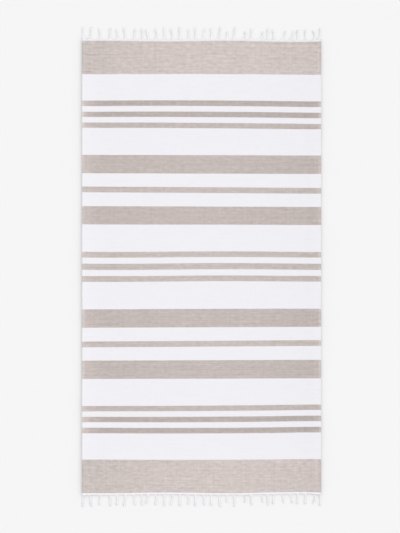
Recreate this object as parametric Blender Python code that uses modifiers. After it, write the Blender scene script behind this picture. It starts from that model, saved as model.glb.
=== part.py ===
"""A flat-woven hammam towel, laid out flat, with a knotted fringe along each short end.

Metres, +Z up. +X runs across the towel and +Y along it. The origin is on the floor, under the middle.
"""
import math
from collections import namedtuple

import bmesh
import bpy
from mathutils import Vector

# Cloth: one length off the loom, its stripes woven in
CLOTH_WIDTH = 0.900
CLOTH_LENGTH = 1.703
CLOTH_THICKNESS = 0.0016
CLOTH_COLUMNS = 18
CLOTH_ROWS = 40

# Heading: the bare warp's last picks, which hold the tassels
HEADING_DEPTH = 0.0048
HEADING_MARGIN = 0.001
PIECE_GAP = 0.0003

# Both long edges curl up off the floor, a little more in some places than in others
CURL_WIDTH = 0.072
CURL_HEIGHT = 0.0052
CURL_CHANGE = 0.0005
CURL_WAVE = 0.62

# The short ends run in a slight wave, outward where it is positive
END_WAVE = 0.0014
END_WAVE_LENGTH = 0.75
END_WAVE_CREST = 0.12

# Low swells where the cloth doesn't lie tight on the floor, sizes in metres
Swell = namedtuple("Swell", "x y across along height")
SWELLS = (
    Swell(x=-0.20, y=0.52, across=0.17, along=0.21, height=0.0012),
    Swell(x=0.19, y=0.34, across=0.20, along=0.17, height=0.0009),
    Swell(x=-0.22, y=-0.30, across=0.15, along=0.24, height=0.0010),
    Swell(x=0.21, y=-0.55, across=0.16, along=0.20, height=0.0013),
)

# Tassels, from -X to +X, in millimetres: where each leaves the heading, how far its tip leans sideways,
# how far its middle bows off the straight line, its length, and how far its frayed tip opens
MILLIMETRE = 0.001
Tassel = namedtuple("Tassel", "root lean bow length spread")
TASSELS = (
    Tassel(-446, -1, 0, 50, 3),
    Tassel(-420, 5, 0, 47, 6),
    Tassel(-381, -5, 1, 42, 4),
    Tassel(-344, 1, -1, 46, 3),
    Tassel(-316, -6, 3, 41, 5),
    Tassel(-285, -8, 0, 46, 4),
    Tassel(-254, 5, -1, 43, 4),
    Tassel(-225, -2, 3, 43, 5),
    Tassel(-200, -10, 2, 37, 4),
    Tassel(-174, -2, 6, 43, 4),
    Tassel(-141, 0, 1, 48, 3),
    Tassel(-110, -8, 4, 42, 6),
    Tassel(-81, -1, 0, 48, 4),
    Tassel(-52, 0, 4, 42, 5),
    Tassel(-22, -2, 0, 48, 3),
    Tassel(8, 4, -1, 43, 4),
    Tassel(36, 1, 0, 42, 7),
    Tassel(65, 6, 0, 48, 4),
    Tassel(96, -1, 1, 31, 4),
    Tassel(121, 4, 0, 46, 4),
    Tassel(152, 7, 11, 31, 4),
    Tassel(186, 4, -1, 42, 6),
    Tassel(218, 9, 7, 32, 4),
    Tassel(248, 3, 0, 45, 4),
    Tassel(273, -5, 1, 42, 4),
    Tassel(303, 15, 1, 38, 4),
    Tassel(334, 17, -1, 37, 3),
    Tassel(362, 1, 0, 42, 4),
    Tassel(391, -1, 0, 41, 7),
    Tassel(424, -6, 6, 38, 4),
    Tassel(446, 1, 0, 50, 3),
)

# Three tassels lie straighter at the -Y end than their opposites: lean in millimetres by root
LOWER_LEANS = {303: 8, 334: 10, 362: -2}

# A tassel's sections: share of its length, size across and up in millimetres, and turn of its twist in degrees.
# It fans out at the heading, runs as a twisted cord, swells at the knot and opens after it.
Section = namedtuple("Section", "share across up turn")
FAN_WIDTH = 16
SECTIONS = (
    Section(0.07, 9.5, 2.2, 0),
    Section(0.17, 6.0, 3.0, 30),
    Section(0.31, 5.2, 3.3, 75),
    Section(0.45, 5.2, 3.3, 120),
    Section(0.59, 5.0, 3.2, 165),
    Section(0.68, 5.2, 3.3, 200),
    Section(0.73, 6.4, 4.4, 225),
    Section(0.79, 6.0, 4.2, 270),
    Section(0.84, 4.8, 3.0, 315),
)
FRAY = (
    Section(0.92, 3.2, 2.4, 0),
    Section(1.00, 2.2, 1.4, 0),
)
FRAY_INNER = 0.7
FAN_SHARE = 0.25
LINE_STEP = 0.02


def lift(x, y):
    """Height of the cloth's underside above the floor."""
    curl_height = CURL_HEIGHT + CURL_CHANGE * math.cos(2 * math.pi * y / CURL_WAVE)
    reach = (abs(x) - CLOTH_WIDTH / 2 + CURL_WIDTH) / CURL_WIDTH
    height = curl_height * max(reach, 0) ** 2
    for swell in SWELLS:
        distance = ((x - swell.x) / swell.across) ** 2 + ((y - swell.y) / swell.along) ** 2
        height += swell.height * max(1 - distance, 0) ** 2
    return height


def end_wave(x):
    """How far the short ends stand out, or in, at this place across the towel."""
    return END_WAVE * math.cos(2 * math.pi * (x - END_WAVE_CREST) / END_WAVE_LENGTH)


def add_cloth(collection):
    """The woven sheet, an open grid given its thickness upward."""
    sheet = bmesh.new()
    bmesh.ops.create_grid(sheet, x_segments=CLOTH_COLUMNS, y_segments=CLOTH_ROWS, size=1)
    for vertex in sheet.verts:
        across, along = vertex.co.x, vertex.co.y
        x = CLOTH_WIDTH / 2 * math.sin(across * math.pi / 2)
        y = along * (CLOTH_LENGTH / 2 + end_wave(x) * abs(along))
        vertex.co = (x, y, lift(x, y))
    cloth = add_object("cloth", sheet, collection)
    solidify = cloth.modifiers.new("Thickness", "SOLIDIFY")
    solidify.thickness = CLOTH_THICKNESS
    solidify.offset = 1
    return cloth


def fan_centre(tassel):
    """Middle of a tassel's fan on the heading, kept inside the selvedges."""
    limit = CLOTH_WIDTH / 2 - HEADING_MARGIN - FAN_WIDTH * MILLIMETRE / 2
    return min(max(tassel.root * MILLIMETRE, -limit), limit)


def tassel_line(tassel, share):
    """A tassel's middle line, seen from above: a share of the way from the heading to its tip."""
    root = tassel.root * MILLIMETRE
    foot = fan_centre(tassel)
    gather = max(1 - share / FAN_SHARE, 0) ** 2
    lean = tassel.lean * MILLIMETRE * share
    bow = tassel.bow * MILLIMETRE * math.sin(math.pi * share)
    x = root + (foot - root) * gather + lean + bow
    y = heading_edge(foot) + tassel.length * MILLIMETRE * share
    return Vector((x, y, 0))


def tassel_frame(tassel, share):
    """Middle point, at its height off the floor, and sideways direction at a share of a tassel's length."""
    middle = tassel_line(tassel, share)
    forward = tassel_line(tassel, share + LINE_STEP) - tassel_line(tassel, share - LINE_STEP)
    forward.normalize()
    sideways = Vector((forward.y, -forward.x, 0))
    middle.z = lift(fan_centre(tassel), CLOTH_LENGTH / 2) * max(1 - share / FAN_SHARE, 0) ** 2
    return middle, sideways


def heading_edge(x):
    """Outer edge of the heading, at the +Y end."""
    return CLOTH_LENGTH / 2 + end_wave(x) + PIECE_GAP + HEADING_DEPTH


def bridge(body, first, second):
    """Faces between two rings with the same number of points."""
    for index in range(len(first)):
        after = (index + 1) % len(first)
        body.faces.new((first[index], first[after], second[after], second[index]))


def cord_ring(body, tassel, section):
    """Four corners of a twisted cord, turned by its section and resting on the floor."""
    middle, sideways = tassel_frame(tassel, section.share)
    turns = [math.radians(section.turn + 45 + 90 * corner) for corner in range(4)]
    half_across = section.across * MILLIMETRE / math.sqrt(2)
    half_up = section.up * MILLIMETRE / math.sqrt(2)
    drop = min(math.sin(turn) for turn in turns)
    ring = []
    for turn in turns:
        rise = Vector((0, 0, half_up * (math.sin(turn) - drop)))
        ring.append(body.verts.new(middle + sideways * half_across * math.cos(turn) + rise))
    return ring


def fray_ring(body, tassel, section, side):
    """Three corners of one half of the frayed tip: outer, top and bottom."""
    middle, sideways = tassel_frame(tassel, section.share)
    knot_share = SECTIONS[-1].share
    opened = (section.share - knot_share) / (1 - knot_share)
    half = section.across * MILLIMETRE / 2
    centre = middle + sideways * side * (half + tassel.spread * MILLIMETRE / 2 * opened)
    height = Vector((0, 0, section.up * MILLIMETRE))
    return [
        body.verts.new(centre + sideways * side * half + height / 2),
        body.verts.new(centre - sideways * side * half * FRAY_INNER + height),
        body.verts.new(centre - sideways * side * half * FRAY_INNER),
    ]


def add_tassel(body, tassel, root_ring):
    """One tassel, grown from its four corners on the heading to its two frayed ends."""
    ring = root_ring
    for section in SECTIONS:
        next_ring = cord_ring(body, tassel, section)
        bridge(body, ring, next_ring)
        ring = next_ring
    right, top, left, bottom = ring
    for side, outer in ((1, right), (-1, left)):
        ring = [outer, top, bottom]
        for section in FRAY:
            next_ring = fray_ring(body, tassel, section, side)
            bridge(body, ring, next_ring)
            ring = next_ring
        body.faces.new(ring)


def heading_station(body, x):
    """Four corners of the heading's section at one place across the towel."""
    low = lift(x, CLOTH_LENGTH / 2)
    outer = heading_edge(x)
    inner = outer - HEADING_DEPTH
    corners = ((inner, low), (inner, low + CLOTH_THICKNESS), (outer, low + CLOTH_THICKNESS), (outer, low))
    return [body.verts.new((x, y, z)) for y, z in corners]


def add_fringe(name, collection, mirrored):
    """A heading and its tassels, built at the +Y end and mirrored for the other."""
    body = bmesh.new()
    last = heading_station(body, -CLOTH_WIDTH / 2)
    body.faces.new(last)
    half_fan = FAN_WIDTH * MILLIMETRE / 2
    for tassel in TASSELS:
        if mirrored:
            tassel = tassel._replace(lean=LOWER_LEANS.get(tassel.root, tassel.lean))
        left = heading_station(body, fan_centre(tassel) - half_fan)
        right = heading_station(body, fan_centre(tassel) + half_fan)
        bridge(body, last, left)
        for first, second in ((0, 1), (1, 2), (3, 0)):
            body.faces.new((left[first], left[second], right[second], right[first]))
        add_tassel(body, tassel, [right[2], left[2], left[3], right[3]])
        last = right
    end = heading_station(body, CLOTH_WIDTH / 2)
    bridge(body, last, end)
    body.faces.new(end)
    if mirrored:
        bmesh.ops.scale(body, vec=(1, -1, 1), verts=body.verts)
    bmesh.ops.recalc_face_normals(body, faces=body.faces)
    return add_object(name, body, collection)


def add_object(name, body, collection):
    """An object of this name in the collection, from a finished bmesh."""
    mesh = bpy.data.meshes.new(name)
    body.to_mesh(mesh)
    body.free()
    part = bpy.data.objects.new(name, mesh)
    collection.objects.link(part)
    return part


def yarn_material(name, colour, roughness):
    """Matt cotton of one colour."""
    material = bpy.data.materials.new(name)
    material.use_nodes = True
    shader = material.node_tree.nodes["Principled BSDF"]
    shader.inputs["Base Color"].default_value = (*colour, 1)
    shader.inputs["Roughness"].default_value = roughness
    shader.inputs["Metallic"].default_value = 0
    return material


def main():
    for old in list(bpy.data.objects):
        bpy.data.objects.remove(old, do_unlink=True)
    towel = bpy.data.collections.new("hammam_towel")
    bpy.context.scene.collection.children.link(towel)
    cloth = add_cloth(towel)
    cloth.data.materials.append(yarn_material("striped cotton", (0.72, 0.68, 0.65), 0.9))
    warp_cotton = yarn_material("warp cotton", (0.87, 0.87, 0.90), 0.85)
    for name, mirrored in (("fringe_a", False), ("fringe_b", True)):
        fringe = add_fringe(name, towel, mirrored)
        fringe.data.materials.append(warp_cotton)


main()
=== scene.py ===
# A flat-woven hammam towel, laid out flat and seen from straight above.
# Metres, +X across the towel, +Y along it toward the top of the picture.
import math
from collections import namedtuple

import bpy
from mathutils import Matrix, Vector, noise


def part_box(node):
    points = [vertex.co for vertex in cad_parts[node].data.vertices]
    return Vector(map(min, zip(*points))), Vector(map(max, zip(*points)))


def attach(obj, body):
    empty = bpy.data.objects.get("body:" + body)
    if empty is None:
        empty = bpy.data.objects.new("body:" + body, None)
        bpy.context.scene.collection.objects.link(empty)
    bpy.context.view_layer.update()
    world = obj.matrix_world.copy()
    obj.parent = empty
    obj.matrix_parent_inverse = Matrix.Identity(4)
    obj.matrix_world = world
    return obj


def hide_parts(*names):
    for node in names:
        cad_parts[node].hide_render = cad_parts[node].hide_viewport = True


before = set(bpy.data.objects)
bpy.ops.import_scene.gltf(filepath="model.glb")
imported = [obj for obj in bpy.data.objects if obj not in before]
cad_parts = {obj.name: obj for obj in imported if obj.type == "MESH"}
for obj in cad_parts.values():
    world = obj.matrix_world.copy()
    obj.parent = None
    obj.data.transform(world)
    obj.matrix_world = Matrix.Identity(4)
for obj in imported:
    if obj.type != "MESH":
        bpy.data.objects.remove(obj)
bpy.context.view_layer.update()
clothLow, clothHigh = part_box("cloth")
print("frame loaded: cloth %.3f m wide" % (clothHigh[0] - clothLow[0]))


# Node helpers, used by materials and Geometry Nodes alike

def feed(tree, socket, value):
    if isinstance(value, bpy.types.NodeSocket):
        tree.links.new(value, socket)
    elif value is not None:
        socket.default_value = value


def addNode(tree, kind, settings=None, **values):
    # values go to the input sockets by name, underscores standing for spaces
    node = tree.nodes.new(kind)
    for name, setting in (settings or {}).items():
        setattr(node, name, setting)
    for name, value in values.items():
        feed(tree, node.inputs[name.replace("_", " ")], value)
    return node


def calc(tree, operation, *values, kind="ShaderNodeMath"):
    node = addNode(tree, kind, {"operation": operation})
    for socket, value in zip(node.inputs, values):
        feed(tree, socket, value)
    return node.outputs[0]


def vectorCalc(tree, operation, *values):
    return calc(tree, operation, *values, kind="ShaderNodeVectorMath")


def scaled(tree, vector, factor):
    node = addNode(tree, "ShaderNodeVectorMath", {"operation": "SCALE"})
    feed(tree, node.inputs[0], vector)
    feed(tree, node.inputs["Scale"], factor)
    return node.outputs[0]


def smoothRange(tree, value, start, end, low=0.0, high=1.0):
    node = addNode(tree, "ShaderNodeMapRange", {"interpolation_type": "SMOOTHSTEP"})
    for socket, item in zip(node.inputs, (value, start, end, low, high)):
        feed(tree, socket, item)
    return node.outputs[0]


def pickSocket(sockets, name, number=0):
    # some nodes have a socket of the same name for each type of data
    return [socket for socket in sockets if socket.name == name][number]


def blend(tree, kind, factor, first, second):
    # kind is VECTOR or RGBA
    node = addNode(tree, "ShaderNodeMix", {"data_type": kind})
    number = {"VECTOR": 1, "RGBA": 2}[kind]
    feed(tree, node.inputs[0], factor)
    feed(tree, pickSocket(node.inputs, "A", number), first)
    feed(tree, pickSocket(node.inputs, "B", number), second)
    return pickSocket(node.outputs, "Result", number)


def clamp01(value):
    return min(max(value, 0.0), 1.0)


def ease(value):
    value = clamp01(value)
    return value * value * (3 - 2 * value)


def between(rows, value):
    # the two rows that a value lies between by their first entry, and its eased share of the way
    for low, high in zip(rows, rows[1:]):
        if value <= high[0]:
            break
    return low, high, ease((value - low[0]) / (high[0] - low[0]))


def linearColour(red, green, blue, level=1.0):
    # screen values 0-255 to linear, times a level
    def one(value):
        value /= 255
        return (value / 12.92 if value <= 0.04045 else ((value + 0.055) / 1.055) ** 2.4) * level
    return (one(red), one(green), one(blue), 1.0)


# Cloth

clothValues = {
    "cell": 0.007,             # grid spacing
    "sideInsets": (0.0003, 0.0007, 0.0013, 0.0025, 0.0042),  # extra grid lines in from the selvedges
    "endInsets": (0.0003,),    # and in from the ends
    "thickness": 0.0013,       # of the weave
    "selvedgeThickness": 0.0016,
    "selvedgeWidth": 0.004,
    "edgeRound": 0.0010,       # how far in an edge's rounding reaches
    "edgeThin": 0.4,           # share of the thickness at the very edge
    "curlWidth": 0.072,        # how far in from each long edge the cloth lifts
    "curlHeight": 0.0052,
    "curlChange": 0.0005,
    "curlWave": 0.62,
    "solidWave": 0.0014,       # what the wave in the solid's ends adds to its length at each end
    "endDraw": 0.0003,         # how far the ends lie in from there
    "endFrom": 0.78,           # past this distance from the middle the picks turn to follow the end
    "ripple": 0.00022,         # faint waviness everywhere
    "leastRipple": 0.3,        # share of it that is always there
    "selvedgeRipple": 0.0007,  # and more along the curled edges
    "rippleRate": 13,          # how often that changes in each metre
    "selvedgeLift": 0.0010,
    "selvedgeWander": 0.0004,  # how far the selvedge's line strays sideways
    "wanderRate": 21,          # and how often in each metre
    "drawnIn": 0.0008,         # how far the curl draws it in
    "loomSpan": 1.8,           # metres across the whole loom map
}
clothValues["halfWidth"] = (clothHigh[0] - clothLow[0]) / 2
clothValues["halfLength"] = clothHigh[1] - clothValues["solidWave"]

# low swells where the cloth doesn't lie tight, metres
Swell = namedtuple("Swell", "x y across along height")
swells = (
    Swell(x=-0.20, y=0.52, across=0.17, along=0.21, height=0.0012),
    Swell(x=0.19, y=0.34, across=0.20, along=0.17, height=0.0009),
    Swell(x=-0.22, y=-0.30, across=0.15, along=0.24, height=0.0010),
    Swell(x=0.21, y=-0.55, across=0.16, along=0.20, height=0.0013),
)

# faint ripples, by how often they change in each metre
Ripple = namedtuple("Ripple", "across along seed share")
ripples = (
    Ripple(across=6, along=4, seed=0.3, share=1.0),
    Ripple(across=17, along=11, seed=4.1, share=0.5),
)

# the short ends run in a slight wave, made of these
Wave = namedtuple("Wave", "height length crest")
endWaves = (
    Wave(height=0.0016, length=0.50, crest=0.11),
    Wave(height=0.0010, length=1.10, crest=-0.145),
)

# how the picks run off square, by distance from the middle: a tilt and a cup, millimetres at the edge
Skew = namedtuple("Skew", "along tilt cup")
skews = (
    Skew(along=0.00, tilt=0.0, cup=0.0),
    Skew(along=0.19, tilt=1.4, cup=0.0),
    Skew(along=0.29, tilt=2.8, cup=0.4),
    Skew(along=0.39, tilt=1.0, cup=0.2),
    Skew(along=0.53, tilt=3.0, cup=1.8),
    Skew(along=0.60, tilt=1.8, cup=3.0),
    Skew(along=0.72, tilt=1.0, cup=2.4),
    Skew(along=0.80, tilt=1.2, cup=0.8),
    Skew(along=0.90, tilt=1.2, cup=0.8),
)
middleWave = {"height": 0.0014, "rise": 0.0015, "length": 0.85, "crest": -0.33, "reach": 0.13}


def curlShare(x):
    # 0 in the flat cloth, growing to 1 at the selvedge
    curlWidth = clothValues["curlWidth"]
    return clamp01((abs(x) - clothValues["halfWidth"] + curlWidth) / curlWidth)


def clothLift(x, y):
    # height of the underside above the floor
    values = clothValues
    curl = values["curlHeight"] + values["curlChange"] * math.cos(2 * math.pi * y / values["curlWave"])
    height = curl * curlShare(x) ** 2
    for swell in swells:
        distance = ((x - swell.x) / swell.across) ** 2 + ((y - swell.y) / swell.along) ** 2
        height += swell.height * max(1 - distance, 0) ** 2
    return height


def selvedgeNoise(x, y, rate, row, seed):
    # unevenness along the selvedge on x's side
    return noise.noise(Vector((math.copysign(row, x), y * rate, seed)))


def clothRipple(x, y):
    # what the cloth's unevenness adds to its height
    values = clothValues
    broad = sum(ripple.share * noise.noise(Vector((x * ripple.across, y * ripple.along, ripple.seed)))
                for ripple in ripples)
    edge = selvedgeNoise(x, y, values["rippleRate"], 3, 7.7)
    edgeRise = values["selvedgeLift"] + values["selvedgeRipple"] * (0.5 + edge)
    return values["ripple"] * max(1 + broad, values["leastRipple"]) + edgeRise * curlShare(x) ** 2


def sidePlace(x, y):
    # where a warp thread lies across the towel
    values = clothValues
    stray = values["selvedgeWander"] * selvedgeNoise(x, y, values["wanderRate"], 5, 1.9)
    return x + math.copysign(1, x) * (stray - values["drawnIn"]) * curlShare(x) ** 2


def endWave(x):
    # how far out the cloth's end lies here
    waves = sum(wave.height * math.cos(2 * math.pi * (x - wave.crest) / wave.length) for wave in endWaves)
    return waves - clothValues["endDraw"]


def pickShift(x, y):
    # how far a pick lies from where it would in a square cloth
    side = 1 if y >= 0 else -1
    along = abs(y)
    share = x / clothValues["halfWidth"]
    low, high, mix = between(skews, along)
    tilt = low.tilt + (high.tilt - low.tilt) * mix
    cup = low.cup + (high.cup - low.cup) * mix
    inward = (tilt * share + cup * (share ** 2 - 1 / 3)) / 1000
    endFrom = clothValues["endFrom"]
    toEnd = ease((along - endFrom) / (clothValues["halfLength"] - endFrom))
    shift = -side * inward * (1 - toEnd) + side * endWave(x) * toEnd
    wave = middleWave["height"] * math.cos(2 * math.pi * (x - middleWave["crest"]) / middleWave["length"])
    return shift + (middleWave["rise"] - wave) * math.exp(-(y / middleWave["reach"]) ** 2)


def loomPlace(x, y):
    # place on the loom map, from 0 to 1
    return (x / clothValues["loomSpan"] + 0.5, y / clothValues["loomSpan"] + 0.5)


def gridLines(low, high, cell, insets):
    # even steps from low to high, with more lines close to both ends
    steps = round((high - low) / cell)
    lines = [low + (high - low) * step / steps for step in range(steps + 1)]
    lines += [low + inset for inset in insets] + [high - inset for inset in insets]
    return sorted(lines)


def layGrid(name, place, columns, rows, thickness):
    # a sheet laid by place(x, y), whose loom map holds where each point was woven;
    # thickness(x, y) is in metres, on top of the laid surface
    woven = [(x, y) for y in rows for x in columns]
    wide = len(columns)
    faces = []
    for row in range(len(rows) - 1):
        for column in range(wide - 1):
            first = row * wide + column
            faces.append((first, first + 1, first + wide + 1, first + wide))
    mesh = bpy.data.meshes.new(name)
    mesh.from_pydata([place(x, y) for x, y in woven], [], faces)
    loom = mesh.uv_layers.new(name="loom")
    for loop in mesh.loops:
        loom.data[loop.index].uv = loomPlace(*woven[loop.vertex_index])
    if mesh.polygons[0].normal.z < 0:
        mesh.flip_normals()
    mesh.shade_smooth()
    piece = bpy.data.objects.new(name, mesh)
    bpy.context.scene.collection.objects.link(piece)
    depths = [thickness(x, y) for x, y in woven]
    thickest = max(depths)
    group = piece.vertex_groups.new(name="thick")
    for index, depth in enumerate(depths):
        group.add([index], depth / thickest, "REPLACE")
    solidify = piece.modifiers.new("thickness", "SOLIDIFY")
    solidify.thickness = thickest
    solidify.offset = 1
    solidify.vertex_group = "thick"
    return piece


def roundedEdge(distance):
    # share of the full thickness at this distance in from an edge
    thin = clothValues["edgeThin"]
    away = 1 - clamp01(distance / clothValues["edgeRound"])
    return thin + (1 - thin) * math.sqrt(1 - away * away)


def makeCloth():
    values = clothValues

    def place(x, y):
        return (sidePlace(x, y), y + pickShift(x, y), clothLift(x, y) + clothRipple(x, y))

    def thickness(x, y):
        inset = values["halfWidth"] - abs(x)
        bead = ease(1 - inset / values["selvedgeWidth"])
        full = values["thickness"] + (values["selvedgeThickness"] - values["thickness"]) * bead
        return full * roundedEdge(inset)

    halfWidth, halfLength = values["halfWidth"], values["halfLength"]
    columns = gridLines(-halfWidth, halfWidth, values["cell"], values["sideInsets"])
    rows = gridLines(-halfLength, halfLength, values["cell"], values["endInsets"])
    return layGrid("towelCloth", place, columns, rows, thickness)


# Cotton, woven and spun

# taupe weft from four dye baths, by its tone on screen
dyes = {
    "pale": (211, 200, 196),
    "light": (203, 192, 188),
    "middle": (199, 188, 184),
    "deep": (190, 179, 175),
}

# weft stripes by distance from the towel's middle in millimetres, with their dye
# and how much it pales toward the sides
Stripe = namedtuple("Stripe", "start end dye pale")
stripes = (
    Stripe(-11.6, 11.6, "light", 0.5),
    Stripe(34.7, 56.1, "light", 0.5),
    Stripe(158.7, 227.2, "middle", 0.6),
    Stripe(278.4, 300.0, "light", 0.5),
    Stripe(351.3, 420.5, "middle", 0.7),
    Stripe(521.7, 541.8, "middle", 0.8),
    Stripe(563.2, 583.5, "deep", 1.0),
    Stripe(605.0, 625.8, "deep", 1.0),
    Stripe(725.3, 850.1, "pale", 0.0),
)

cottonValues = {
    "whiteTone": (242.2, 241.4, 246.8),
    "paleTone": (226, 214, 210),
    "level": 0.881,        # brightness of the dyed and bleached yarns under this light
    "warpPitch": 0.0009,   # metres from thread to thread
    "weftPitch": 0.0010,
    "warpSway": 0.0036,    # how far the threads sway, in all
    "weftSway": 0.0042,
    "pickWander": 0.0011,  # and how far the dyed picks wander
    "stripeEdge": 0.0005,  # half the width over which a stripe's edge blends
    "roughness": 0.92,
    "sheen": 0.12,
    "specular": 0.2,
    "bumpHeight": 0.00022,  # height of the weave, metres
    "bumpStrength": 0.6,
    "slubBump": 0.8,       # what slubs and single threads add to it
    "threadBump": 0.5,
    "selvedgePale": 0.30,  # share of the pale tone in the stripes at the selvedges
    "selvedgeSpan": (0.438, 0.4445),  # metres from the middle, from none to all of it
    "leftPale": 0.65,      # and in from them
    "rightPale": 0.30,
    "leftReach": 0.10,     # how far in it goes, metres
    "rightReach": 0.05,
    "sideShade": 0.065,     # painted shade: how much darker the dyed stripes are at the sides than in the middle
    "rightShade": 0.018,    # painted shade: how much darker the right side of the whole cloth is
    "curlLight": 0.030,     # painted light: how much paler the curled edge there is made
    "curlLightSpan": (0.395, 0.447),
    "slubs": 0.335,        # strength of each kind of unevenness
    "streaks": 0.20,
    "picks": 0.20,
    "endUneven": 0.26,     # how much more in the end bands
    "endTilt": 0.030,      # and how much paler their right side is
    "endSpan": (0.66, 0.70),
    "warpLines": 0.14,
    "edgeLines": 2.5,      # how many times as strong they are at the selvedges
    "lineSpan": (0.400, 0.450),
    "threads": 0.14,
    "crowns": 0.22,
    "gaps": 0.09,          # painted shade: how much darker the gaps between threads are
    "gapMean": 0.25,       # their depth on the whole, which leaves the tone as it is
    "whiteUneven": 0.035,  # strength of slubs in the white
    "whiteStreaks": 1.5,   # and of streaks, times that
}

spunValues = {
    "colour": (0.895, 0.895, 0.93),
    "fibreTone": 0.16,     # how much the tone changes from fibre to fibre
    "softTone": 0.10,      # and along the yarn
    "roughness": 0.9,
    "sheen": 0.12,
    "specular": 0.2,
    "bumpHeight": 0.0001,
    "bumpStrength": 0.3,
}

# kinds of unevenness by the size of their blots in metres
Blots = namedtuple("Blots", "across along detail seed")
blots = {
    "wander": Blots(0.018, 0.004, 3.0, 2.0),
    "slubs": Blots(0.020, 0.0100, 2.0, 9.0),
    "streaks": Blots(0.120, 0.0050, 2.0, 5.0),
    "picks": Blots(3.0, 0.0056, 2.0, 13.0),
    "weftThreads": Blots(0.034, 0.0011, 1.0, 25.0),
    "warpThreads": Blots(0.0010, 0.030, 1.0, 29.0),
    "warpLines": Blots(0.0050, 0.450, 2.0, 17.0),
    "sway": Blots(0.016, 0.016, 1.0, 21.0),
    "fibres": Blots(0.0004, 0.0012, 3.0, 3.0),
    "yarnTones": Blots(0.006, 0.009, 2.0, 8.0),
}


def loomCoordinates(tree, span):
    loom = addNode(tree, "ShaderNodeUVMap", {"uv_map": "loom"})
    centred = vectorCalc(tree, "SUBTRACT", loom.outputs["UV"], (0.5, 0.5, 0.0))
    split = addNode(tree, "ShaderNodeSeparateXYZ", Vector=scaled(tree, centred, span))
    return split.outputs["X"], split.outputs["Y"]


def stretchedNoise(tree, across, along, name):
    # noise from 0 to 1 in blots of this name's size
    size = blots[name]
    place = addNode(tree, "ShaderNodeCombineXYZ", X=calc(tree, "DIVIDE", across, size.across),
                    Y=calc(tree, "DIVIDE", along, size.along), Z=size.seed)
    made = addNode(tree, "ShaderNodeTexNoise", {"noise_dimensions": "3D"}, Vector=place.outputs[0],
                   Scale=1.0, Detail=size.detail, Roughness=0.55)
    return made.outputs["Fac"]


def unevenness(tree, across, along, name):
    # the same to both sides of 0
    return calc(tree, "SUBTRACT", stretchedNoise(tree, across, along, name), 0.5)


def sidePale(tree, across, side, reach, share):
    # grows as a square toward one selvedge
    inset = calc(tree, "MULTIPLY_ADD", across, side / reach, 1 - clothValues["halfWidth"] / reach)
    inset = calc(tree, "MAXIMUM", inset, 0.0)
    return calc(tree, "MULTIPLY", calc(tree, "MULTIPLY", inset, inset), share)


def stripeColour(tree, across, along):
    # colour of the woven stripes at a place, and where the weft is dyed
    values = cottonValues
    white = linearColour(*values["whiteTone"], values["level"])
    paled = linearColour(*values["paleTone"], values["level"])
    sides = calc(tree, "ADD",
                 sidePale(tree, across, -1, values["leftReach"], values["leftPale"]),
                 sidePale(tree, across, 1, values["rightReach"], values["rightPale"]))
    selvedge = smoothRange(tree, calc(tree, "ABSOLUTE", across), *values["selvedgeSpan"], 0.0,
                           values["selvedgePale"])
    distance = calc(tree, "ABSOLUTE", along)
    colour, dyed = white, 0.0
    for stripe in stripes:
        middle = (stripe.start + stripe.end) / 2000
        half = (stripe.end - stripe.start) / 2000
        offset = calc(tree, "ABSOLUTE", calc(tree, "SUBTRACT", distance, middle))
        inside = smoothRange(tree, offset, half + values["stripeEdge"], half - values["stripeEdge"])
        tone = linearColour(*dyes[stripe.dye], values["level"])
        if stripe.pale:
            pale = calc(tree, "MULTIPLY_ADD", sides, stripe.pale, selvedge)
            tone = blend(tree, "RGBA", pale, tone, paled)
        colour = blend(tree, "RGBA", inside, colour, tone)
        dyed = calc(tree, "ADD", inside, dyed)
    return colour, dyed


def plainWeave(tree, across, along, warpPitch, weftPitch):
    # height from 0 to 1, over 0.5 where a warp thread lies on top, and the gaps between threads
    warp = calc(tree, "COSINE", calc(tree, "MULTIPLY", across, math.pi / warpPitch))
    weft = calc(tree, "COSINE", calc(tree, "MULTIPLY", along, math.pi / weftPitch))
    besideWarp = calc(tree, "SUBTRACT", 1.0, calc(tree, "MULTIPLY", warp, warp))
    besideWeft = calc(tree, "SUBTRACT", 1.0, calc(tree, "MULTIPLY", weft, weft))
    return (calc(tree, "MULTIPLY_ADD", calc(tree, "MULTIPLY", warp, weft), 0.5, 0.5),
            calc(tree, "MULTIPLY", besideWarp, besideWeft))


def newMaterial(name):
    material = bpy.data.materials.new(name)
    material.use_nodes = True
    tree = material.node_tree
    return material, tree, tree.nodes["Principled BSDF"]


def finishCotton(tree, shader, colour, height, values):
    # a soft matt yarn of this colour, with height as its relief
    bump = addNode(tree, "ShaderNodeBump", Strength=values["bumpStrength"], Distance=values["bumpHeight"],
                   Height=height)
    feed(tree, shader.inputs["Base Color"], colour)
    feed(tree, shader.inputs["Normal"], bump.outputs["Normal"])
    shader.inputs["Roughness"].default_value = values["roughness"]
    shader.inputs["Sheen Weight"].default_value = values["sheen"]
    shader.inputs["Specular IOR Level"].default_value = values["specular"]


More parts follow.
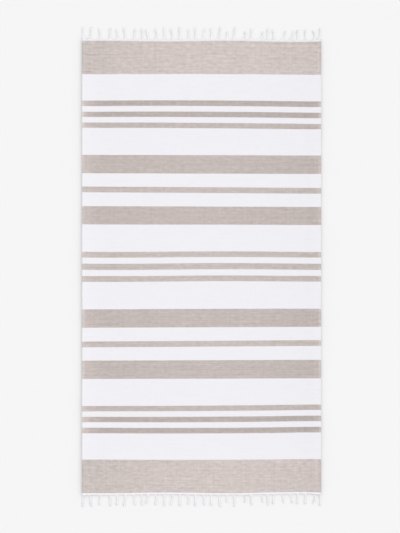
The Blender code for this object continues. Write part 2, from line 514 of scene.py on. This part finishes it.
def dyeUnevennessAndSideShade(tree, across, along, slubs, streaks, threads):
    # how the tone of the dyed weft changes: yarn by yarn, pick by pick, along warp lines, plus painted
    # shade toward the sides
    values = cottonValues
    share = calc(tree, "DIVIDE", across, clothValues["halfWidth"])
    picks = unevenness(tree, across, along, "picks")
    nearSelvedge = smoothRange(tree, calc(tree, "ABSOLUTE", across), *values["lineSpan"], 1.0,
                               values["edgeLines"])
    lines = calc(tree, "MULTIPLY", unevenness(tree, across, along, "warpLines"), nearSelvedge)
    uneven = calc(tree, "MULTIPLY", slubs, values["slubs"])
    for kind, name in ((streaks, "streaks"), (picks, "picks"), (lines, "warpLines"), (threads, "threads")):
        uneven = calc(tree, "MULTIPLY_ADD", kind, values[name], uneven)
    inEnds = smoothRange(tree, calc(tree, "ABSOLUTE", along), *values["endSpan"])
    uneven = calc(tree, "MULTIPLY", uneven, calc(tree, "MULTIPLY_ADD", inEnds, values["endUneven"], 1.0))
    # painted shade: the dyed stripes darker toward both sides
    sideShade = calc(tree, "MULTIPLY", calc(tree, "MULTIPLY", share, share), -values["sideShade"])
    endTilt = calc(tree, "MULTIPLY", calc(tree, "MULTIPLY", inEnds, share), values["endTilt"])
    return calc(tree, "ADD", uneven, calc(tree, "ADD", sideShade, endTilt))


def rightShadeAndCurlLight(tree, across):
    # painted shade deepening the whole cloth toward the right, and painted light making the curled edge
    # there paler again
    values = cottonValues
    rightShare = calc(tree, "MAXIMUM", calc(tree, "DIVIDE", across, clothValues["halfWidth"]), 0.0)
    curlLightFactor = smoothRange(tree, across, *values["curlLightSpan"], 1.0, 1 + values["curlLight"])
    return calc(tree, "MULTIPLY_ADD", calc(tree, "MULTIPLY", rightShare, rightShare),
                -values["rightShade"], curlLightFactor)


def makeWovenCotton():
    values = cottonValues
    material, tree, shader = newMaterial("wovenCotton")
    across, along = loomCoordinates(tree, clothValues["loomSpan"])
    # picks wander a little, so a stripe's edge is a thread's, not a ruler's
    wander = unevenness(tree, across, along, "wander")
    wandered = calc(tree, "MULTIPLY_ADD", wander, values["pickWander"], along)
    colour, dyed = stripeColour(tree, across, wandered)
    slubs = unevenness(tree, across, along, "slubs")
    streaks = unevenness(tree, across, along, "streaks")
    threads = calc(tree, "ADD", unevenness(tree, across, along, "weftThreads"),
                   unevenness(tree, across, along, "warpThreads"))
    # the threads sway by up to about two pitches, as on a hand loom
    sway = unevenness(tree, across, along, "sway")
    acrossSwayed = calc(tree, "MULTIPLY_ADD", sway, values["warpSway"], across)
    alongSwayed = calc(tree, "MULTIPLY_ADD", sway, values["weftSway"], along)
    weave, gaps = plainWeave(tree, acrossSwayed, alongSwayed, values["warpPitch"], values["weftPitch"])
    # white warp crowns stand out on dyed weft
    crowns = calc(tree, "MULTIPLY", calc(tree, "SUBTRACT", weave, 0.5), values["crowns"])
    # the dye's own unevenness plus painted shade toward the sides
    uneven = dyeUnevennessAndSideShade(tree, across, along, slubs, streaks, threads)
    dyedChange = calc(tree, "MULTIPLY", calc(tree, "ADD", uneven, crowns), dyed)
    whiteChange = calc(tree, "MULTIPLY", calc(tree, "MULTIPLY_ADD", streaks, values["whiteStreaks"], slubs),
                       values["whiteUneven"])
    # painted shade in the gaps between threads
    gapShade = calc(tree, "MULTIPLY", calc(tree, "SUBTRACT", values["gapMean"], gaps), values["gaps"])
    # painted shade toward the right and painted light on the right curl
    change = calc(tree, "ADD", rightShadeAndCurlLight(tree, across), calc(tree, "ADD", dyedChange, whiteChange))
    change = calc(tree, "ADD", change, gapShade)
    height = calc(tree, "MULTIPLY_ADD", slubs, values["slubBump"], weave)
    height = calc(tree, "MULTIPLY_ADD", threads, values["threadBump"], calc(tree, "SUBTRACT", height, gaps))
    finishCotton(tree, shader, scaled(tree, colour, change), height, values)
    return material


def makeSpunCotton():
    # bleached warp yarn: fine fibres and a soft change of tone along it
    values = spunValues
    material, tree, shader = newMaterial("spunCotton")
    place = addNode(tree, "ShaderNodeTexCoord").outputs["Object"]
    split = addNode(tree, "ShaderNodeSeparateXYZ", Vector=place).outputs
    fibres = stretchedNoise(tree, split["X"], split["Y"], "fibres")
    tone = calc(tree, "MULTIPLY_ADD", calc(tree, "SUBTRACT", fibres, 0.5), values["fibreTone"], 1.0)
    tone = calc(tree, "MULTIPLY_ADD", unevenness(tree, split["X"], split["Y"], "yarnTones"),
                values["softTone"], tone)
    finishCotton(tree, shader, scaled(tree, values["colour"], tone), fibres, values)
    return material


# Heading and fringe

fringeValues = {
    "headingDepth": 0.0051,
    "headingScallop": 0.0042,  # how far the tassels draw the heading's edge out
    "scallopMean": 0.45,       # share of that at which the edge keeps the heading's depth
    "scallopReach": 0.0145,    # to each side of a tassel
    "topLift": 0.0008,         # how high it stands between them at the +Y end
    "lowerLift": 0.0042,       # and at the -Y end
    "headingWander": 0.0016,   # how much its depth varies
    "wanderRate": 21,          # and how often in each metre
    "lowerDepth": 0.0016,      # how much deeper it is at the -Y end
    "headingMargin": 0.001,
    "headingCell": 0.0024,     # grid spacing
    "headingInsets": (0.0003, 0.0007, 0.0013),
    "rootDepth": 0.0030,       # how far in from the heading's edge a tassel starts
    "gatherShare": 0.25,       # share of its length over which it leaves its fan's middle
    "yarns": 16,               # in each tassel
    "yarnRadius": 0.00056,
    "yarnSides": 4,
    "plyRadius": 0.00195,      # from the cord's middle to a ply's
    "strandRadius": 0.00115,   # from a ply's middle to its yarns'
    "strandTwist": 1.6,        # turns of a ply for each of the cord, the other way
    "flatness": 0.46,          # of a cord that lies on the floor, its height by its width
    "twistLength": 0.0125,     # one turn of the cord
    "fanWidth": 0.0200,
    "fanShare": 0.30,
    "fanPower": 1.4,           # how sharply the fan closes
    "knotShare": 0.765,        # place of the knot's middle, and its length, by the tassel's
    "knotLength": 0.09,
    "knotPoints": 26,
    "knotYarns": 4,
    "knotSpacing": 1.9,        # from yarn to yarn, times their radius
    "knotTurns": 1.7,
    "knotRadius": 0.0036,
    "knotEnds": 0.45,          # share of that at the knot's ends
    "knotSwell": 1.8,          # and how soon it grows from there
    "looseFrom": 0.05,         # share of the length past the knot's middle where the yarns part
    "looseFull": 1.05,
    "fray": 1.5,               # of the tips, times each row's spread
    "frayDown": 0.45,          # its reach down and up, by its reach sideways
    "frayUp": 0.35,
    "fraySeeds": (11, 12),
    "shortestYarn": 0.80,      # by the longest
    "cutSeed": 13,
    "linePoints": 24,
    "rings": 38,
    "seed": 4,
}

# one row for each tassel from -X to +X, millimetres: where it leaves the heading, how far its tip leans,
# how far its middle bows, its length and how far its frayed tip opens
Tassel = namedtuple("Tassel", "root lean bow length spread")
tassels = (
    Tassel(-446, -1, 0, 50, 3),
    Tassel(-420, 5, 0, 47, 6),
    Tassel(-381, -5, 1, 42, 4),
    Tassel(-344, 1, -1, 46, 3),
    Tassel(-316, -6, 3, 41, 5),
    Tassel(-285, -8, 0, 46, 4),
    Tassel(-254, 5, -1, 43, 4),
    Tassel(-225, -2, 3, 43, 5),
    Tassel(-200, -10, 2, 37, 4),
    Tassel(-174, -2, 6, 43, 4),
    Tassel(-141, 0, 1, 48, 3),
    Tassel(-110, -8, 4, 42, 6),
    Tassel(-81, -1, 0, 48, 4),
    Tassel(-52, 0, 4, 42, 5),
    Tassel(-22, -2, 0, 48, 3),
    Tassel(8, 4, -1, 43, 4),
    Tassel(36, 1, 0, 42, 7),
    Tassel(65, 6, 0, 48, 4),
    Tassel(96, -1, 1, 31, 4),
    Tassel(121, 4, 0, 46, 4),
    Tassel(152, 7, 11, 31, 4),
    Tassel(186, 4, -1, 42, 6),
    Tassel(218, 9, 7, 32, 4),
    Tassel(248, 3, 0, 45, 4),
    Tassel(273, -5, 1, 42, 4),
    Tassel(303, 15, 1, 38, 4),
    Tassel(334, 17, -1, 37, 3),
    Tassel(362, 1, 0, 42, 4),
    Tassel(391, -1, 0, 41, 7),
    Tassel(424, -6, 6, 38, 4),
    Tassel(446, 1, 0, 50, 3),
)

# three of them lie straighter at the -Y end: lean by root
lowerLeans = {303: 8, 334: 10, 362: -2}

# height of a tassel's middle line above the floor, in millimetres, by share of its length
Rise = namedtuple("Rise", "share height")
rises = (
    Rise(0.0, 1.2),
    Rise(0.18, 1.8),
    Rise(0.62, 1.9),
    Rise(0.765, 2.4),
    Rise(0.87, 1.3),
    Rise(1.0, 0.6),
)


def headingEdge(x):
    return clothValues["halfLength"] + endWave(x) + fringeValues["headingDepth"]


def fanMiddle(tassel):
    limit = clothValues["halfWidth"] - fringeValues["headingMargin"] - fringeValues["fanWidth"] / 2
    return min(max(tassel.root / 1000, -limit), limit)


def headingHeight(x, side):
    return clothLift(x, clothValues["halfLength"]) + clothRipple(x, side * clothValues["halfLength"])


def fanTilt(tassel, side):
    # slope of the heading where the tassel's yarns leave it
    foot, half = fanMiddle(tassel), fringeValues["fanWidth"] / 2
    return (headingHeight(foot + half, side) - headingHeight(foot - half, side)) / fringeValues["fanWidth"]


def tasselPoint(tassel, share, side):
    # a tassel's middle line, from the heading's edge down to the floor
    foot, root = fanMiddle(tassel), tassel.root / 1000
    gather = max(1 - share / fringeValues["gatherShare"], 0) ** 2
    lean = tassel.lean if side > 0 else lowerLeans.get(tassel.root, tassel.lean)
    x = root + (foot - root) * gather
    x += lean / 1000 * share + tassel.bow / 1000 * math.sin(math.pi * share)
    rootDepth = fringeValues["rootDepth"]
    y = headingEdge(foot) - rootDepth + (tassel.length / 1000 + rootDepth) * share
    low, high, mix = between(rises, share)
    height = (low.height + (high.height - low.height) * mix) / 1000
    return Vector((x, y * side, height + headingHeight(foot, side) * gather))


def makeTasselLines(name, side):
    # one edge chain for each tassel, with what its row says stored on its points
    places, edges, fans, tilts, spreads = [], [], [], [], []
    points = fringeValues["linePoints"]
    for tassel in tassels:
        first = len(places)
        for index in range(points):
            places.append(tasselPoint(tassel, index / (points - 1), side))
            fans.append(fringeValues["fanWidth"])
            tilts.append(fanTilt(tassel, side))
            spreads.append(tassel.spread / 1000 * fringeValues["fray"])
        edges += [(first + index, first + index + 1) for index in range(points - 1)]
    mesh = bpy.data.meshes.new(name)
    mesh.from_pydata(places, edges, [])
    for label, values in (("fan", fans), ("tilt", tilts), ("spread", spreads)):
        layer = mesh.attributes.new(label, "FLOAT", "POINT")
        layer.data.foreach_set("value", values)
    lines = bpy.data.objects.new(name, mesh)
    bpy.context.scene.collection.objects.link(lines)
    return lines


def readAttribute(tree, name):
    node = addNode(tree, "GeometryNodeInputNamedAttribute", {"data_type": "FLOAT"}, Name=name)
    return node.outputs["Attribute"]


def randomFor(tree, low, high, identity, seed):
    node = addNode(tree, "FunctionNodeRandomValue", {"data_type": "FLOAT"}, ID=identity, Seed=seed)
    feed(tree, pickSocket(node.inputs, "Min", 1), low)
    feed(tree, pickSocket(node.inputs, "Max", 1), high)
    return pickSocket(node.outputs, "Value", 1)


# what yarns and knots share: the tassels' middle lines, a yarn's profile, and at each point of a line
# its place, its length and share so far, and its directions
Cord = namedtuple("Cord", "curves profile place length share tangent sideways upward raised")


def ringOffset(tree, cord, angle, radius):
    # a step from the middle line, at this angle and radius round it
    across = scaled(tree, cord.sideways, calc(tree, "MULTIPLY", calc(tree, "COSINE", angle), radius))
    above = scaled(tree, cord.raised, calc(tree, "MULTIPLY", calc(tree, "SINE", angle), radius))
    return vectorCalc(tree, "ADD", across, above)


def aboveFloor(tree, position, clearance):
    parts = addNode(tree, "ShaderNodeSeparateXYZ", Vector=position).outputs
    height = calc(tree, "MAXIMUM", parts["Z"], clearance)
    return addNode(tree, "ShaderNodeCombineXYZ", X=parts["X"], Y=parts["Y"], Z=height).outputs[0]


def fanOffset(tree, given, yarn):
    # a yarn's place in the row that leaves the heading
    row = calc(tree, "DIVIDE", calc(tree, "ADD", yarn, 0.5), given["Yarns"])
    alongHeading = addNode(tree, "ShaderNodeCombineXYZ", X=1.0, Z=readAttribute(tree, "tilt")).outputs[0]
    return scaled(tree, alongHeading,
                  calc(tree, "MULTIPLY", calc(tree, "SUBTRACT", row, 0.5), readAttribute(tree, "fan")))


def twistOffset(tree, given, cord, yarn, spline):
    # a yarn's place in its ply and the ply's in the cord
    strands = calc(tree, "DIVIDE", given["Yarns"], 2.0)
    tasselNumber = calc(tree, "FLOOR", calc(tree, "DIVIDE", spline, given["Yarns"]))
    ply = calc(tree, "FLOORED_MODULO", yarn, 2.0)
    strand = calc(tree, "FLOOR", calc(tree, "DIVIDE", yarn, 2.0))
    phase = randomFor(tree, 0.0, 2 * math.pi, tasselNumber, given["Seed"])
    turn = calc(tree, "MULTIPLY", calc(tree, "DIVIDE", cord.length, given["Twist Length"]), 2 * math.pi)
    cordAngle = calc(tree, "ADD", calc(tree, "MULTIPLY_ADD", ply, math.pi, turn), phase)
    strandTurn = calc(tree, "MULTIPLY", calc(tree, "DIVIDE", strand, strands), 2 * math.pi)
    strandAngle = calc(tree, "SUBTRACT", strandTurn,
                       calc(tree, "MULTIPLY", turn, fringeValues["strandTwist"]))
    return vectorCalc(tree, "ADD",
                      ringOffset(tree, cord, cordAngle, given["Ply Radius"]),
                      ringOffset(tree, cord, strandAngle, given["Strand Radius"]))


def frayOffset(tree, cord, spline):
    # where a yarn's loose tip goes
    values = fringeValues
    seedAcross, seedUp = values["fraySeeds"]
    frayAcross = randomFor(tree, -1.0, 1.0, spline, seedAcross)
    frayUp = randomFor(tree, -values["frayDown"], values["frayUp"], spline, seedUp)
    spread = readAttribute(tree, "spread")
    return vectorCalc(tree, "ADD", scaled(tree, cord.sideways, calc(tree, "MULTIPLY", frayAcross, spread)),
                      scaled(tree, cord.upward, calc(tree, "MULTIPLY", frayUp, spread)))


def twistYarns(tree, given, cord):
    # yarns fanned at the heading, twisted two-ply in the cord and loose past the knot
    values = fringeValues
    copies = addNode(tree, "GeometryNodeDuplicateElements", {"domain": "SPLINE"}, Geometry=cord.curves,
                     Amount=given["Yarns"]).outputs
    captured = addNode(tree, "GeometryNodeCaptureAttribute", {"domain": "CURVE"},
                       Geometry=copies["Geometry"])
    captured.capture_items.new("INT", "Yarn")
    captured.capture_items.new("INT", "Spline")
    feed(tree, captured.inputs["Yarn"], copies["Duplicate Index"])
    feed(tree, captured.inputs["Spline"], addNode(tree, "GeometryNodeInputIndex").outputs[0])
    yarn, spline = captured.outputs["Yarn"], captured.outputs["Spline"]
    fan = fanOffset(tree, given, yarn)
    twisted = twistOffset(tree, given, cord, yarn, spline)
    toFan = calc(tree, "SUBTRACT", 1.0, calc(tree, "DIVIDE", cord.share, given["Fan Share"]))
    toFan = calc(tree, "POWER", calc(tree, "MAXIMUM", toFan, 0.0), values["fanPower"])
    offset = blend(tree, "VECTOR", calc(tree, "SUBTRACT", 1.0, toFan), fan, twisted)
    looseFrom = calc(tree, "ADD", given["Knot Share"], values["looseFrom"])
    loose = smoothRange(tree, cord.share, looseFrom, values["looseFull"])
    offset = blend(tree, "VECTOR", loose, offset, frayOffset(tree, cord, spline))
    onFloor = aboveFloor(tree, vectorCalc(tree, "ADD", cord.place, offset), given["Yarn Radius"])
    yarns = addNode(tree, "GeometryNodeSetPosition", Geometry=captured.outputs["Geometry"],
                    Position=onFloor).outputs[0]
    trimmed = addNode(tree, "GeometryNodeTrimCurve", {"mode": "FACTOR"}, Curve=yarns)
    cut = randomFor(tree, values["shortestYarn"], 1.0, spline, values["cutSeed"])
    feed(tree, pickSocket(trimmed.inputs, "End"), cut)
    return addNode(tree, "GeometryNodeCurveToMesh", Curve=trimmed.outputs[0], Profile_Curve=cord.profile,
                   Fill_Caps=True).outputs[0]


def windKnots(tree, given, cord):
    # a few yarns wound round each cord
    values = fringeValues
    half = values["knotLength"] / 2
    knotLine = addNode(tree, "GeometryNodeTrimCurve", {"mode": "FACTOR"}, Curve=cord.curves)
    feed(tree, pickSocket(knotLine.inputs, "Start"), calc(tree, "SUBTRACT", given["Knot Share"], half))
    feed(tree, pickSocket(knotLine.inputs, "End"), calc(tree, "ADD", given["Knot Share"], half))
    knotLine = addNode(tree, "GeometryNodeResampleCurve", {"mode": "COUNT"}, Curve=knotLine.outputs[0],
                       Count=values["knotPoints"]).outputs[0]
    wraps = addNode(tree, "GeometryNodeDuplicateElements", {"domain": "SPLINE"}, Geometry=knotLine,
                    Amount=given["Knot Yarns"]).outputs
    held = addNode(tree, "GeometryNodeCaptureAttribute", {"domain": "CURVE"}, Geometry=wraps["Geometry"])
    held.capture_items.new("INT", "Wrap")
    feed(tree, held.inputs["Wrap"], wraps["Duplicate Index"])
    middle = calc(tree, "DIVIDE", calc(tree, "SUBTRACT", given["Knot Yarns"], 1.0), 2.0)
    beside = calc(tree, "MULTIPLY", calc(tree, "SUBTRACT", held.outputs["Wrap"], middle),
                  calc(tree, "MULTIPLY", given["Yarn Radius"], values["knotSpacing"]))
    wound = calc(tree, "MULTIPLY", calc(tree, "MULTIPLY", cord.share, given["Knot Turns"]), 2 * math.pi)
    arch = calc(tree, "SINE", calc(tree, "MULTIPLY", cord.share, math.pi))
    tuck = calc(tree, "MULTIPLY_ADD", arch, values["knotSwell"], values["knotEnds"])
    tuck = calc(tree, "MINIMUM", 1.0, tuck)
    around = ringOffset(tree, cord, wound, calc(tree, "MULTIPLY", given["Knot Radius"], tuck))
    windings = vectorCalc(tree, "ADD", cord.place,
                          vectorCalc(tree, "ADD", around, scaled(tree, cord.tangent, beside)))
    wrapped = addNode(tree, "GeometryNodeSetPosition", Geometry=held.outputs["Geometry"],
                      Position=aboveFloor(tree, windings, given["Yarn Radius"])).outputs[0]
    return addNode(tree, "GeometryNodeCurveToMesh", Curve=wrapped, Profile_Curve=cord.profile,
                   Fill_Caps=True).outputs[0]


def makeFringeTree():
    tree = bpy.data.node_groups.new("knottedFringe", "GeometryNodeTree")
    face = tree.interface
    face.new_socket(name="Tassel Lines", in_out="INPUT", socket_type="NodeSocketGeometry")
    for label in ("Yarns", "Rings", "Knot Yarns", "Seed"):
        face.new_socket(name=label, in_out="INPUT", socket_type="NodeSocketInt")
    for label in ("Yarn Radius", "Ply Radius", "Strand Radius", "Flatness", "Twist Length",
                  "Fan Share", "Knot Share", "Knot Turns", "Knot Radius"):
        face.new_socket(name=label, in_out="INPUT", socket_type="NodeSocketFloat")
    face.new_socket(name="Cotton", in_out="INPUT", socket_type="NodeSocketMaterial")
    face.new_socket(name="Fringe", in_out="OUTPUT", socket_type="NodeSocketGeometry")
    given = tree.nodes.new("NodeGroupInput").outputs
    made = tree.nodes.new("NodeGroupOutput")

    curves = addNode(tree, "GeometryNodeMeshToCurve", Mesh=given["Tassel Lines"]).outputs[0]
    curves = addNode(tree, "GeometryNodeResampleCurve", {"mode": "COUNT"}, Curve=curves,
                     Count=given["Rings"]).outputs[0]
    profile = addNode(tree, "GeometryNodeCurvePrimitiveCircle", Resolution=fringeValues["yarnSides"],
                      Radius=given["Yarn Radius"]).outputs["Curve"]
    line = addNode(tree, "GeometryNodeSplineParameter").outputs
    tangent = addNode(tree, "GeometryNodeInputTangent").outputs[0]
    upward = (0.0, 0.0, 1.0)
    cord = Cord(
        curves=curves,
        profile=profile,
        place=addNode(tree, "GeometryNodeInputPosition").outputs[0],
        length=line["Length"],
        share=line["Factor"],
        tangent=tangent,
        sideways=vectorCalc(tree, "NORMALIZE", vectorCalc(tree, "CROSS_PRODUCT", tangent, upward)),
        upward=upward,
        raised=scaled(tree, upward, given["Flatness"]),
    )
    joined = tree.nodes.new("GeometryNodeJoinGeometry")
    tree.links.new(windKnots(tree, given, cord), joined.inputs[0])
    tree.links.new(twistYarns(tree, given, cord), joined.inputs[0])
    smooth = addNode(tree, "GeometryNodeSetShadeSmooth", Geometry=joined.outputs[0]).outputs[0]
    real = addNode(tree, "GeometryNodeRealizeInstances", Geometry=smooth).outputs[0]
    dressed = addNode(tree, "GeometryNodeSetMaterial", Geometry=real, Material=given["Cotton"]).outputs[0]
    feed(tree, made.inputs["Fringe"], dressed)
    return tree


def socketId(tree, name):
    return next(s.identifier for s in tree.interface.items_tree if s.name == name and s.in_out == "INPUT")


def growMesh(base, tree, inputs, name):
    # runs the tree on base and keeps its result as a plain mesh object
    modifier = base.modifiers.new(tree.name, "NODES")
    modifier.node_group = tree
    for label, value in inputs.items():
        modifier[socketId(tree, label)] = value
    evaluated = base.evaluated_get(bpy.context.evaluated_depsgraph_get())
    mesh = bpy.data.meshes.new_from_object(evaluated)
    mesh.name = name
    piece = bpy.data.objects.new(name, mesh)
    bpy.context.scene.collection.objects.link(piece)
    bpy.data.objects.remove(base, do_unlink=True)
    return piece


def makeTassels(name, side, tree, cotton):
    values = fringeValues
    inputs = {
        "Yarns": values["yarns"],
        "Rings": values["rings"],
        "Knot Yarns": values["knotYarns"],
        "Seed": values["seed"],
        "Yarn Radius": values["yarnRadius"],
        "Ply Radius": values["plyRadius"],
        "Strand Radius": values["strandRadius"],
        "Flatness": values["flatness"],
        "Twist Length": values["twistLength"],
        "Fan Share": values["fanShare"],
        "Knot Share": values["knotShare"],
        "Knot Turns": values["knotTurns"],
        "Knot Radius": values["knotRadius"],
        "Cotton": cotton,
    }
    return growMesh(makeTasselLines(name + "Lines", side), tree, inputs, name)


def cusp(distance):
    # a round arch from 0 at a distance of 1 to a point of 1 at none
    away = 1 - clamp01(distance)
    return 1 - math.sqrt(1 - away * away)


def makeHeading(name, side):
    # the last picks past the stripes, their outer edge drawn out a little at each tassel
    values = fringeValues
    halfWidth, inner = clothValues["halfWidth"], clothValues["halfLength"]

    def place(x, y):
        out = (y - inner) / values["headingDepth"]
        drawn = max(cusp(abs(x - fanMiddle(tassel)) / values["scallopReach"]) for tassel in tassels)
        wander = values["headingWander"] * noise.noise(Vector((x * values["wanderRate"], side * 3, 5.2)))
        deeper = 0.0 if side > 0 else values["lowerDepth"]
        scallop = values["headingScallop"] * (drawn - values["scallopMean"])
        spot = y + endWave(x) + (scallop + wander + deeper) * out
        lift = values["topLift" if side > 0 else "lowerLift"] * out * (1 - drawn)
        return (sidePlace(x, side * inner), side * spot, headingHeight(x, side) + lift)

    def thickness(x, y):
        outer = roundedEdge(inner + values["headingDepth"] - y)
        return clothValues["thickness"] * outer * roundedEdge(halfWidth - abs(x))

    cell, insets = values["headingCell"], values["headingInsets"]
    columns = gridLines(-halfWidth, halfWidth, cell, insets)
    rows = gridLines(inner, inner + values["headingDepth"], cell, insets)
    return layGrid(name, place, columns, rows, thickness)


# Floor, light and camera

stageValues = {
    "floorTone": (246, 246, 246),
    "floorLevel": 0.87,
    "floorSize": 60,
    "floorDrop": 0.0002,    # how far it lies under the cloth
    "grain": 0.01,          # how much its tone changes
    "grainScale": 900.0,
    "skyLight": 0.962,      # what the room gives the floor
    "skySide": 0.08,        # how much brighter it is from the right
}

# soft lamps: what each gives the floor, its height and its turn from +X toward +Y
# and how wide it looks, all in degrees
Lamp = namedtuple("Lamp", "name light height turn spread")
lamps = (
    Lamp("topLamp", 0.13, 33, 90, 85),
    Lamp("sideLamp", 0.055, 30, 0, 30),
)

cameraValues = {
    "pictureWidth": 400,
    "pictureHeight": 533,
    "clothPixels": 239.0,           # the cloth's width in the picture
    "middlePixel": (201.6, 266.9),  # where the towel's middle lies in it
    "lens": 85.0,
    "sensor": 36.0,
}


def makeFloor():
    values = stageValues
    bpy.ops.mesh.primitive_plane_add(size=values["floorSize"], location=(0, 0, -values["floorDrop"]))
    floor = bpy.context.object
    floor.name = "studioFloor"
    material, tree, shader = newMaterial("paperFloor")
    tone = linearColour(*values["floorTone"], values["floorLevel"])
    place = addNode(tree, "ShaderNodeTexCoord").outputs["Object"]
    grain = addNode(tree, "ShaderNodeTexNoise", Vector=place, Scale=values["grainScale"], Detail=2.0)
    grain = calc(tree, "SUBTRACT", grain.outputs["Fac"], 0.5)
    level = calc(tree, "MULTIPLY_ADD", grain, values["grain"], 1.0)
    feed(tree, shader.inputs["Base Color"], scaled(tree, tone[:3], level))
    shader.inputs["Roughness"].default_value = 1.0
    shader.inputs["Specular IOR Level"].default_value = 0.0
    floor.data.materials.append(material)


def makeLight():
    values = stageValues
    world = bpy.data.worlds.new("studio")
    bpy.context.scene.world = world
    world.use_nodes = True
    tree = world.node_tree
    sky = tree.nodes["Background"]
    sky.inputs["Color"].default_value = (1.0, 1.0, 1.0, 1.0)
    direction = addNode(tree, "ShaderNodeTexCoord").outputs["Generated"]
    turned = addNode(tree, "ShaderNodeSeparateXYZ", Vector=direction).outputs
    fromRight = calc(tree, "MULTIPLY_ADD", turned["X"], values["skySide"] * values["skyLight"],
                     values["skyLight"])
    feed(tree, sky.inputs["Strength"], fromRight)
    for lamp in lamps:
        light = bpy.data.lights.new(lamp.name, "SUN")
        light.energy = lamp.light * math.pi / math.sin(math.radians(lamp.height))
        light.angle = math.radians(lamp.spread)
        holder = bpy.data.objects.new(lamp.name, light)
        bpy.context.scene.collection.objects.link(holder)
        holder.rotation_euler = (0, math.radians(90 - lamp.height), math.radians(lamp.turn))


def makeCamera():
    values = cameraValues
    metresPerPixel = (clothHigh[0] - clothLow[0]) / values["clothPixels"]
    camera = bpy.data.objects.new("camera", bpy.data.cameras.new("camera"))
    bpy.context.scene.collection.objects.link(camera)
    camera.data.lens = values["lens"]
    camera.data.sensor_width = values["sensor"]
    distance = values["pictureHeight"] * metresPerPixel * values["lens"] / values["sensor"]
    column, line = values["middlePixel"]
    x = (values["pictureWidth"] / 2 - column) * metresPerPixel
    y = (line - values["pictureHeight"] / 2) * metresPerPixel
    camera.location = (x, y, distance)
    bpy.context.scene.camera = camera
    bpy.context.scene.view_settings.view_transform = "Standard"


makeCamera()
makeLight()
makeFloor()
print("camera, light and floor set")

wovenCotton = makeWovenCotton()
spunCotton = makeSpunCotton()
cloth = makeCloth()
cloth.data.materials.append(wovenCotton)
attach(cloth, "root")
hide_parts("cloth")
print("cloth laid: %d points" % len(cloth.data.vertices))

fringeTree = makeFringeTree()
for letter, side in (("A", 1), ("B", -1)):
    heading = makeHeading("heading" + letter, side)
    heading.data.materials.append(wovenCotton)
    fringe = makeTassels("tassels" + letter, side, fringeTree, spunCotton)
    for piece in (heading, fringe):
        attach(piece, "root")
        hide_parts("fringe_" + letter.lower())
    print("fringe %s tied: %d faces" % (letter, len(fringe.data.polygons)))
